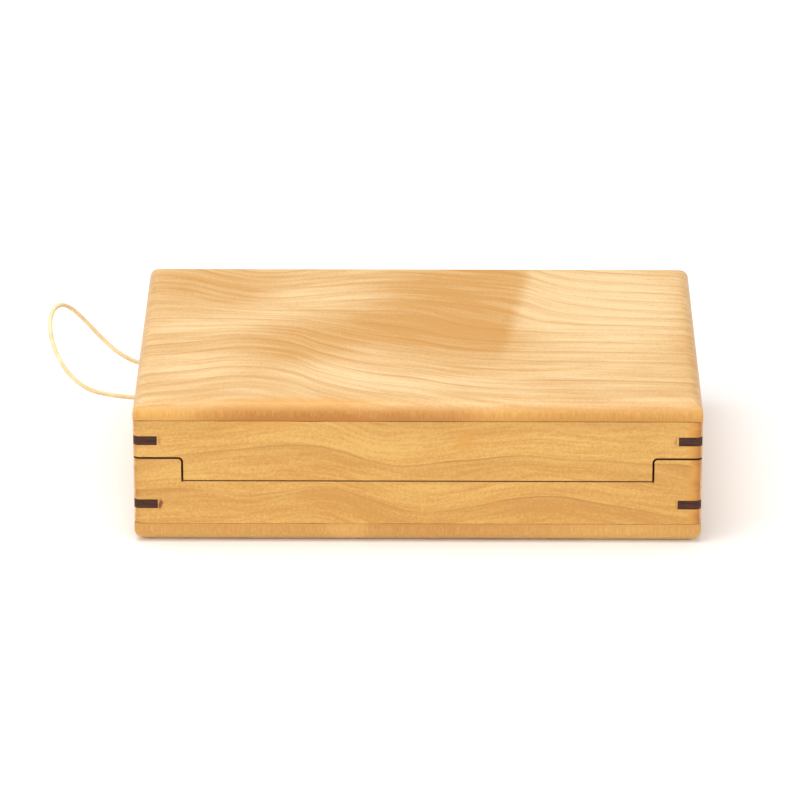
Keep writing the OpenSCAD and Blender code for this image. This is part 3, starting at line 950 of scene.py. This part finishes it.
@dataclass
class Case:
    """The wooden boards of the box: two panels, eight walls, eight keys and two liners."""

    sizes: Proportions
    ease: float = 0.35 * MM
    arris_segments: int = 3
    bore_play: float = 0.06 * MM
    bore_past_pin: float = 0.4 * MM
    bore_in_lid: float = 4.1 * MM
    cord_hole_radius: float = 1.0 * MM
    liner_round: float = 0.8 * MM
    past: float = 1.0 * MM
    relief: float = 0.25 * MM
    relief_below_seam: float = 0.5 * MM
    same: float = 0.01 * MM
    pieces: dict[str, bpy.types.Object] = field(default_factory=dict)

    # Helpers of the case

    @staticmethod
    def corner_name(sx: int, sy: int) -> str:
        """The name of a corner of the box, by the signs of its x and y."""
        return f"{'front' if sy < 0 else 'back'}_{'left' if sx < 0 else 'right'}"

    def edges_at(self, x: float, z: float) -> EdgeRule:
        """The rule for the edges that run from front to back at a distance and a height."""
        return lambda a, b: all(
            abs(abs(p.x) - x) < self.same and abs(p.z - z) < self.same for p in (a, b)
        )

    def on_outside(self, p: Vector) -> bool:
        """Whether a point lies on the outline of the box, seen from above."""
        s = self.sizes
        dx = max(0.0, abs(p.x) - (s.width / 2 - s.corner_radius))
        dy = max(0.0, abs(p.y) - (s.depth / 2 - s.corner_radius))
        return math.hypot(dx, dy) > s.corner_radius - 0.02 * MM

    def on_inside(self, p: Vector) -> bool:
        """Whether a point lies on the inner faces of the walls, seen from above."""
        s = self.sizes
        gap_x = abs(abs(p.x) - (s.width / 2 - s.wall))
        gap_y = abs(abs(p.y) - (s.depth / 2 - s.wall))
        return min(gap_x, gap_y) < 0.02 * MM

    def outline_block(self, name: str, low: float, high: float) -> bpy.types.Object:
        """A block of the box's full plan with rounded vertical edges, between two heights."""
        s = self.sizes
        piece = Bench.block(
            name, (-s.width / 2, -s.depth / 2, low), (s.width / 2, s.depth / 2, high)
        )
        upright: EdgeRule = lambda a, b: abs(a.z - b.z) > 1e-6
        Bench.round_edges(piece, upright, s.corner_radius, Bench.round_segments)
        return piece

    def mitre(self, piece: bpy.types.Object, side: Side) -> None:
        """Saws one wall out of the block: two mitres and the inner face."""
        s = self.sizes
        fx, fy = side.value
        if fy:
            Bench.saw(piece, (0, fy * (s.depth / 2 - s.wall), 0), (0, -fy, 0))
            for sx in (-1, 1):
                Bench.saw(piece, (sx * s.width / 2, fy * s.depth / 2, 0), (sx, -fy, 0))
        else:
            Bench.saw(piece, (fx * (s.width / 2 - s.wall), 0, 0), (-fx, 0, 0))
            for sy in (-1, 1):
                Bench.saw(piece, (fx * s.width / 2, sy * s.depth / 2, 0), (-fx, sy, 0))

    def kerf(self, sx: int, sy: int, low: float, high: float) -> bpy.types.Object:
        """A wedge across one corner, sawn along the line that the key's inner edge follows."""
        s = self.sizes
        corner_x, corner_y = sx * s.width / 2, sy * s.depth / 2
        reach_x, reach_y = corner_x - sx * s.key_length, corner_y - sy * s.key_length
        xs = sorted((corner_x + sx * self.past, reach_x - sx * self.past))
        ys = sorted((corner_y + sy * self.past, reach_y - sy * self.past))
        wedge = Bench.block("kerf", (xs[0], ys[0], low), (xs[1], ys[1], high))
        Bench.saw(wedge, (reach_x, corner_y, 0), (-sx, -sy, 0))
        return wedge

    def cut_kerfs(self, piece: bpy.types.Object, side: Side, half: Half) -> None:
        """Cuts the two kerfs that cross a wall's ends."""
        fx, fy = side.value
        corners = [(sx, fy) for sx in (-1, 1)] if fy else [(fx, sy) for sy in (-1, 1)]
        low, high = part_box(f"{half.value}_key_front_left")
        for sx, sy in corners:
            Bench.cut_away(piece, self.kerf(sx, sy, low.z, high.z))

    def cut_bores(self, piece: bpy.types.Object, sy: int, half: Half) -> None:
        """Drills the two blind bores of the lock pins in a stepped wall."""
        s = self.sizes
        for sx in (-1, 1):
            low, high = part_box(f"lock_pin_{self.corner_name(sx, sy)}")
            middle = (low + high) / 2
            radius = (high.z - low.z) / 2 + self.bore_play
            outer = max(abs(low.x), abs(high.x)) + self.bore_past_pin
            inner = s.apron_x - self.bore_in_lid
            if half is Half.BASE:
                start, end = s.base_step_x - self.past, outer
            else:
                start, end = inner, s.apron_x + self.past
            ends = (Vector((sx * x, middle.y, middle.z)) for x in (start, end))
            Bench.cut_away(piece, Bench.rod("drill", *ends, radius))

    def keep(self, piece: bpy.types.Object, node: str, half: Half) -> None:
        """Finishes a board and puts it in the place of its CAD node."""
        Bench.finish(piece)
        piece.name = f"{node}_board" if "key" not in node else f"{node}_wedge"
        piece.data.name = piece.name
        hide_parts(node)
        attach(piece, half.value)
        self.pieces[node] = piece
        LOG.info("%s: %d faces", piece.name, len(piece.data.polygons))

    # The boards

    def make_panel(self, node: str, half: Half) -> None:
        """Makes the top or bottom panel: its rim rounded over, then its corners eased."""
        s = self.sizes
        low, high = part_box(node)
        piece = Bench.block(node, tuple(low), tuple(high))
        rim = high.z if half is Half.LID else low.z
        on_rim: EdgeRule = lambda a, b: abs(a.z - rim) < 1e-6 and abs(b.z - rim) < 1e-6
        Bench.round_edges(piece, on_rim, s.edge_radius, Bench.round_segments)
        on_corner: EdgeRule = lambda a, b: all(
            abs((s.width / 2 - abs(p.x)) - (s.depth / 2 - abs(p.y))) < self.same for p in (a, b)
        )
        Bench.round_edges(piece, on_corner, s.corner_radius, 6, sharp_only=False)
        self.keep(piece, node, half)

    def make_stepped_base_wall(self, side: Side) -> None:
        """Makes the base's front or back wall, low between two raised corners."""
        s = self.sizes
        sy = side.value[1]
        node = f"base_{side.name.lower()}_wall"
        piece = self.outline_block(node, s.base_floor, s.base_side_top)
        self.mitre(piece, side)
        notch = Bench.block(
            "notch", (-s.base_step_x, -s.depth, s.low_seam), (s.base_step_x, s.depth, s.height)
        )
        Bench.cut_away(piece, notch)
        shoulder = self.edges_at(s.base_step_x, s.base_side_top)
        Bench.round_edges(piece, shoulder, s.step_radius, 5)
        self.cut_kerfs(piece, side, Half.BASE)
        self.ease_seam(piece, lambda z: z > s.low_seam - self.same)
        self.cut_bores(piece, sy, Half.BASE)
        self.keep(piece, node, Half.BASE)

    def make_stepped_lid_wall(self, side: Side) -> None:
        """Makes the lid's front or back wall with its wide apron."""
        s = self.sizes
        sy = side.value[1]
        node = f"lid_{side.name.lower()}_wall"
        piece = self.outline_block(node, s.low_seam, s.lid_ceiling)
        self.mitre(piece, side)
        for sx in (-1, 1):
            xs = sorted((sx * s.apron_x, sx * s.width))
            corner = Bench.block(
                "corner", (xs[0], -s.depth, 0), (xs[1], s.depth, s.lid_side_bottom)
            )
            Bench.cut_away(piece, corner)
        armpit = self.edges_at(s.apron_x, s.lid_side_bottom)
        heel = self.edges_at(s.apron_x, s.low_seam)
        Bench.round_edges(piece, armpit, s.step_radius + s.step_gap, 5)
        Bench.round_edges(piece, heel, s.apron_radius, 4)
        self.cut_kerfs(piece, side, Half.LID)
        self.ease_seam(piece, lambda z: z < s.lid_side_bottom + self.same)
        self.cut_bores(piece, sy, Half.LID)
        self.keep(piece, node, Half.LID)

    def make_side_wall(self, side: Side, half: Half) -> None:
        """Makes a plain side wall of the base or the lid."""
        s = self.sizes
        word = side.name.lower()
        node = f"{half.value}_{word}_wall"
        low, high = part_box(node)
        piece = self.outline_block(node, low.z, high.z)
        self.mitre(piece, side)
        self.cut_kerfs(piece, side, half)
        if half is Half.BASE:
            self.ease_seam(piece, lambda z: z > s.base_side_top - self.same)
        else:
            self.ease_seam(piece, lambda z: z < s.lid_side_bottom + self.same)
        if node == "lid_left_wall":
            self.drill_cord_holes(piece)
        self.keep(piece, node, half)

    def drill_cord_holes(self, piece: bpy.types.Object) -> None:
        """Drills the two small holes that the cord passes through."""
        s = self.sizes
        low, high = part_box("cord_knots")
        for y in (CordLoop.route[0][1] * MM, CordLoop.route[-1][1] * MM):
            z = (low.z + high.z) / 2
            start = Vector((-s.width / 2 - self.past, y, z))
            end = Vector((-s.width / 2 + s.wall + self.past, y, z))
            Bench.cut_away(piece, Bench.rod("cord_drill", start, end, self.cord_hole_radius))

    def ease_seam(self, piece: bpy.types.Object, near_seam: Callable[[float], bool]) -> None:
        """Takes the sharp arris off along the seam, outside and inside."""

        def rule(a: Vector, b: Vector) -> bool:
            if not (near_seam(a.z) and near_seam(b.z)):
                return False
            outside = self.on_outside(a) and self.on_outside(b)
            inside = self.on_inside(a) and self.on_inside(b)
            return outside or inside

        Bench.round_edges(piece, rule, self.ease, self.arris_segments)

    def make_key(self, half: Half, sx: int, sy: int) -> None:
        """Makes one dark wedge, sanded flush with the rounded corner."""
        s = self.sizes
        node = f"{half.value}_key_{self.corner_name(sx, sy)}"
        low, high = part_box(node)
        piece = self.outline_block(node, low.z, high.z)
        Bench.saw(piece, (sx * (s.width / 2 - s.key_length), sy * s.depth / 2, 0), (-sx, -sy, 0))
        self.keep(piece, node, half)

    def make_liner(self, side: Side) -> None:
        """Makes a liner board with its relieved upper edge."""
        node = f"liner_{side.name.lower()}"
        sy = side.value[1]
        low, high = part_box(node)
        piece = Bench.block(node, tuple(low), tuple(high))
        s = self.sizes
        wall_face = sy * (s.depth / 2 - s.wall)
        near, far = sorted((wall_face + sy * self.past, wall_face - sy * self.relief))
        relief = Bench.block(
            "relief",
            (low.x - self.past, near, s.low_seam - self.relief_below_seam),
            (high.x + self.past, far, high.z + self.past),
        )
        Bench.cut_away(piece, relief)
        top_edges: EdgeRule = lambda a, b: abs(a.z - high.z) < 1e-6 and abs(b.z - high.z) < 1e-6
        Bench.round_edges(piece, top_edges, self.liner_round, 3)
        self.keep(piece, node, Half.BASE)

    def build(self) -> None:
        """Makes every board of the case."""
        self.make_panel("bottom_panel", Half.BASE)
        self.make_panel("top_panel", Half.LID)
        for side in (Side.FRONT, Side.BACK):
            self.make_stepped_base_wall(side)
            self.make_stepped_lid_wall(side)
            self.make_liner(side)
        for side in (Side.LEFT, Side.RIGHT):
            for half in Half:
                self.make_side_wall(side, half)
        for half in Half:
            for sx in (-1, 1):
                for sy in (-1, 1):
                    self.make_key(half, sx, sy)


# ---- Cord ----------------------------------------------------------------------------


@dataclass
class CordLoop:
    """The springy pull cord: out of one hole, round in the air and back into the other."""

    sizes: Proportions
    diameter: float = 1.5 * MM
    knot_points: int = 25
    knot_depth: float = 0.55

    # Millimetres from the point of the left wall's outer face midway between the holes
    route = [
        (-0.5, -15.5, 0), (-9, -16, 1), (-17, -17, 3.5), (-23.5, -16.5, 8.5), (-28, -14, 15),
        (-30.5, -8.5, 21), (-30.5, -1, 25), (-28, 7, 25), (-24.5, 13.5, 21), (-20, 17, 15),
        (-14.5, 17.5, 8.5), (-8, 16.5, 3), (-0.5, 15.5, 0),
    ]

    def centreline(self) -> list[Vector]:
        """The route's points in the frame, with a straight stretch through each hole."""
        low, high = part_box("cord_knots")
        start = Vector((-self.sizes.width / 2, 0, (low.z + high.z) / 2))
        through = self.sizes.wall
        points = [start + Vector(p) * MM for p in self.route]
        first = Vector((start.x + through, points[0].y, start.z))
        last = Vector((start.x + through, points[-1].y, start.z))
        return [first, *points, last]

    def strand(self, name: str, points: list[Vector], closed_in: bool = False) -> bpy.types.Object:
        """Makes a round strand through the points, as a smooth bevelled curve.

        Args:
            name: The piece's name.
            points: The points that the strand's middle passes through.
            closed_in: Whether the strand's ends are capped.

        Returns:
            The strand.
        """
        data = bpy.data.curves.new(name, "CURVE")
        data.dimensions = "3D"
        # The thickness is in the points' radius, which is also what the curve's bounds go by
        data.bevel_depth = 1.0
        data.bevel_resolution = 4
        data.resolution_u = 14
        data.use_fill_caps = closed_in
        spline = data.splines.new("BEZIER")
        spline.bezier_points.add(len(points) - 1)
        for i, p in enumerate(points):
            before, after = points[max(0, i - 1)], points[min(len(points) - 1, i + 1)]
            lean = (after - before) / 6
            knot = spline.bezier_points[i]
            knot.co = p
            knot.radius = self.diameter / 2
            knot.handle_left_type = knot.handle_right_type = "FREE"
            knot.handle_left, knot.handle_right = p - lean, p + lean
        strand = bpy.data.objects.new(name, data)
        bpy.context.scene.collection.objects.link(strand)
        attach(strand, "lid")
        return strand

    def knot(self, name: str, middle: Vector, tight: float) -> bpy.types.Object:
        """Ties an overhand knot, pulled tight against the wall, with a short tail."""
        points = []
        for step in range(self.knot_points):
            turn = math.radians(30 + 300 * step / (self.knot_points - 1))
            points.append(middle + Vector((
                -self.knot_depth * tight * math.sin(3 * turn),
                tight * (math.sin(turn) + 2 * math.sin(2 * turn)) / 3,
                tight * (math.cos(turn) - 2 * math.cos(2 * turn)) / 3,
            )))
        tail = points[-1] + Vector((1.6, 0.2, -0.1)) * MM
        piece = self.strand(name, [*points, tail], closed_in=True)
        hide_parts("cord_knots")
        return piece

    def build(self) -> list[bpy.types.Object]:
        points = self.centreline()
        cord = self.strand("pull_cord_loop", points)
        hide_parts("pull_cord")
        low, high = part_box("cord_knots")
        tight = (high.z - low.z - self.diameter) / 2
        middle_x, middle_z = (low.x + high.x) / 2, (low.z + high.z) / 2
        knots = [
            self.knot(f"pull_cord_knot_{word}", Vector((middle_x, end.y, middle_z)), tight)
            for word, end in (("front", points[0]), ("back", points[-1]))
        ]
        length = sum((b - a).length for a, b in zip(points, points[1:]))
        LOG.info("pull cord: %.1f mm between its points", length / MM)
        return [cord, *knots]


# ---- Lock pins -------------------------------------------------------------------------


@dataclass
class LockPins:
    """The four loose steel pins that slide in blind bores across the steps."""

    bevel: float = 0.4 * MM
    pieces: list[bpy.types.Object] = field(default_factory=list)

    def build(self) -> None:
        """Turns the four pins and bevels their ends."""
        for word in ("front", "back"):
            for hand in ("left", "right"):
                node = f"lock_pin_{word}_{hand}"
                low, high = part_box(node)
                middle, radius = (low + high) / 2, (high.z - low.z) / 2
                start, end = Vector((low.x, middle.y, middle.z)), Vector((high.x, middle.y, middle.z))
                pin = Bench.rod(f"{node}_rod", start, end, radius)
                on_end: EdgeRule = lambda a, b, x0=low.x, x1=high.x: any(
                    abs(a.x - x) < 1e-6 and abs(b.x - x) < 1e-6 for x in (x0, x1)
                )
                Bench.round_edges(pin, on_end, self.bevel, 2)
                Bench.finish(pin)
                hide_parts(node)
                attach(pin, f"pin_{word}_{hand}")
                self.pieces.append(pin)
                LOG.info("%s: %d faces", pin.name, len(pin.data.polygons))


def dress(case: Case, cord: list[bpy.types.Object], pins: LockPins) -> None:
    """Gives every piece its finish."""
    finishes = {
        "top_panel": TOP_PANEL, "bottom_panel": BOTTOM_PANEL,
        "lid_front_wall": LID_FRONT, "base_front_wall": BASE_FRONT,
        "lid_back_wall": BACK_WALL, "base_back_wall": BACK_WALL,
        "lid_left_wall": LEFT_WALL, "base_left_wall": LEFT_WALL,
        "lid_right_wall": RIGHT_WALL, "base_right_wall": RIGHT_WALL,
        "liner_front": LINER, "liner_back": LINER,
    }
    made = {finish.name: finish.make() for finish in finishes.values()}
    wenge = Wenge().make()
    for node, piece in case.pieces.items():
        piece.data.materials.append(wenge if "key" in node else made[finishes[node].name])
    waxed = WaxedCord().make()
    for piece in cord:
        piece.data.materials.append(waxed)
    steel = GroundSteel().make()
    for piece in pins.pieces:
        piece.data.materials.append(steel)


def main() -> None:
    """Builds the studio and the box, and reports each piece."""
    logging.basicConfig(level=logging.INFO, format="%(name)s: %(message)s")
    sizes = Proportions.from_frame()
    studio = Studio()
    studio.set_camera()
    studio.lay_floor()
    studio.light()
    cord = CordLoop(sizes).build()
    case = Case(sizes)
    case.build()
    pins = LockPins()
    pins.build()
    dress(case, cord, pins)


if __name__ == "__main__":
    main()
